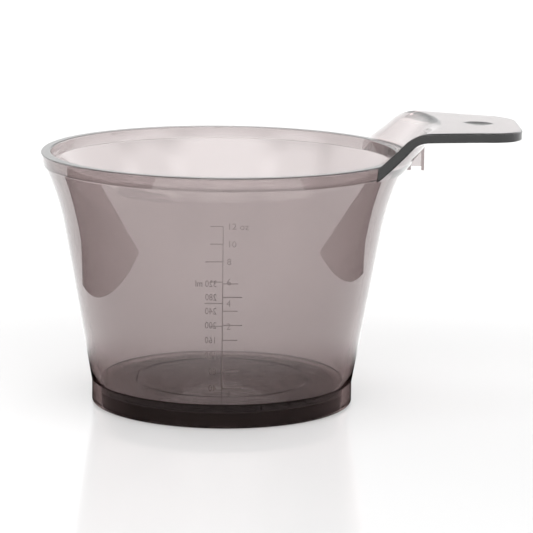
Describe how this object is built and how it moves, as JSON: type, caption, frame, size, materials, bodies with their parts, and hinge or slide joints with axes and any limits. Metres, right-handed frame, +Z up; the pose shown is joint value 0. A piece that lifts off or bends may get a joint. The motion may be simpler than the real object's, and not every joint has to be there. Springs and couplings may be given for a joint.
{
  "type": "hair dye mixing bowl",
  "caption": "Smoky clear mixing bowl with a flared rim, a raised thumb handle with a shallow dimple and a rim clip, and a black non-slip base.",
  "frame": {"origin": "on the bowl's axis, on the face of the soft base that meets the table", "axes": "+Z up along the bowl's axis, +X along the handle from the bowl to the tip"},
  "size_m": [0.17, 0.13, 0.1016],
  "materials": {
    "smoky_clear": "smoky grey-brown see-through moulded plastic, polished",
    "soft_black": "black soft-touch rubber, moulded, fine matt"
  },
  "bodies": {
    "root": {"bowl": "smoky_clear", "handle": "smoky_clear", "base_pad": "soft_black"}
  },
  "joints": []
}
